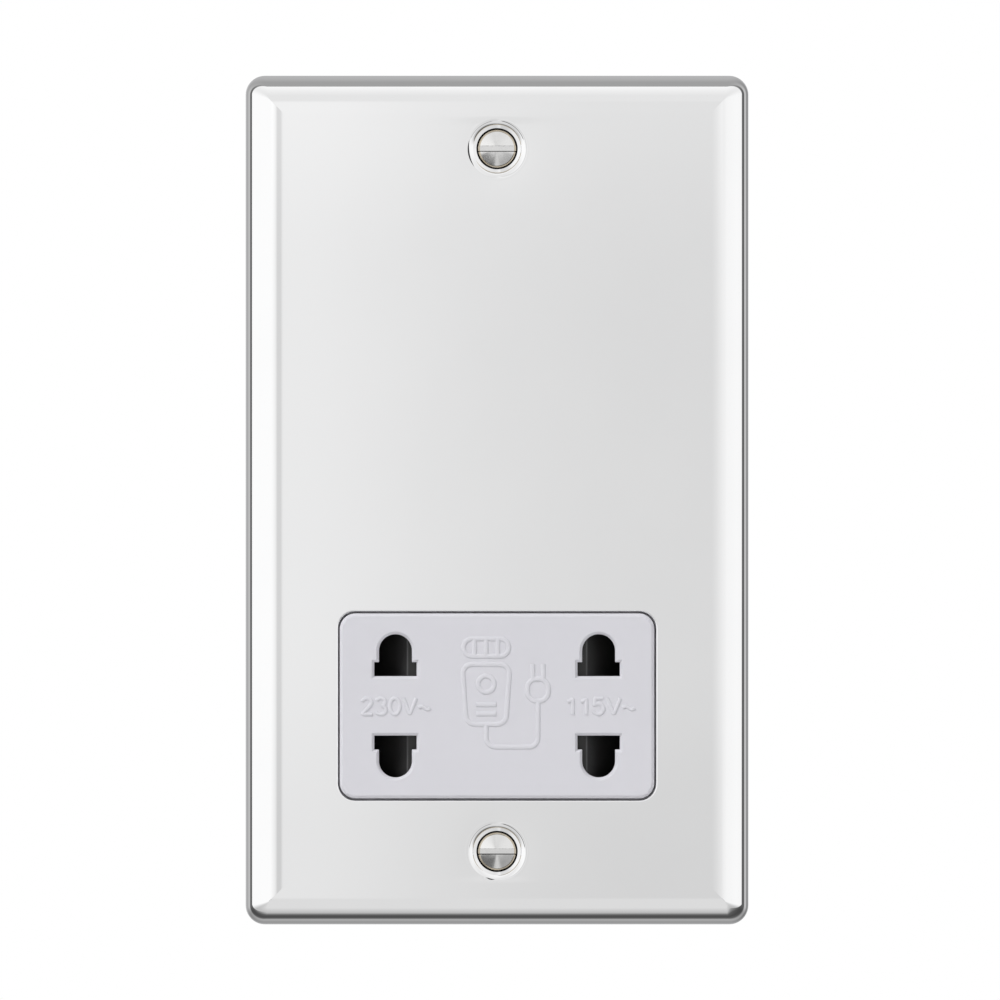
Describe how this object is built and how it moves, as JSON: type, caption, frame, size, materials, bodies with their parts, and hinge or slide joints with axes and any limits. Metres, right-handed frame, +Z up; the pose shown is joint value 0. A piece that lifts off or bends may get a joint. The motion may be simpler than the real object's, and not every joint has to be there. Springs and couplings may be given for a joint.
{
  "type": "shaver socket",
  "caption": "Flush wall shaver socket: polished metal plate, grey insert with round-ended dual-voltage pin holes, interlocking shutter and an isolating transformer behind.",
  "frame": {"origin": "middle of the plate's outline, in the plane of the wall that its rim rests on", "axes": "+X to the right seen from the room, +Y into the wall, +Z up"},
  "size_m": [0.0864, 0.0457, 0.146],
  "materials": {
    "plate": "polished chrome plate",
    "fixing_screws": "polished chrome plate",
    "insert": "fine satin moulding, light cool grey",
    "shutter": "smooth black moulding",
    "contact": "rolled strip",
    "spring": "rolled strip",
    "contact_block": "moulded black",
    "core": "varnished laminations",
    "bobbin": "natural nylon",
    "winding": "enamelled wire under clear tape",
    "cutout": "moulded capsule",
    "primary_lead": "sleeved brown",
    "secondary_lead": "sleeved blue",
    "housing": "satin moulding, off-white",
    "terminal": "drawn bar",
    "terminal_screws": "passivated zinc",
    "nuts": "bright zinc"
  },
  "bodies": {
    "socket": {"front_plate": "plate", "fixing_screws": "fixing_screws", "front_moulding": "insert", "centring_spring": "spring", "contact_block": "contact_block", "contact_230": "contact", "contact_115": "contact", "common_contact": "contact", "live_in_strip": "contact", "live_out_strip": "contact", "core_e_stack": "core", "core_i_stack": "core", "bobbin": "bobbin", "primary_winding": "winding", "secondary_winding": "winding", "thermal_cutout": "cutout", "primary_leads": "primary_lead", "secondary_leads": "secondary_lead", "rear_housing": "housing", "live_terminal": "terminal", "neutral_terminal": "terminal", "earth_terminal": "terminal", "terminal_screws": "terminal_screws", "clamp_nuts": "nuts"},
    "shutter": {"interlock_shutter": "shutter", "bridge_contact": "contact"}
  },
  "joints": [
    {"name": "shutter_slide", "type": "slide", "parent": "socket", "child": "shutter", "axis": [1, 0, 0], "range_m": [-0.0076, 0.0076], "stiffness_N_per_m": 200, "deforming": ["centring_spring"]}
  ]
}
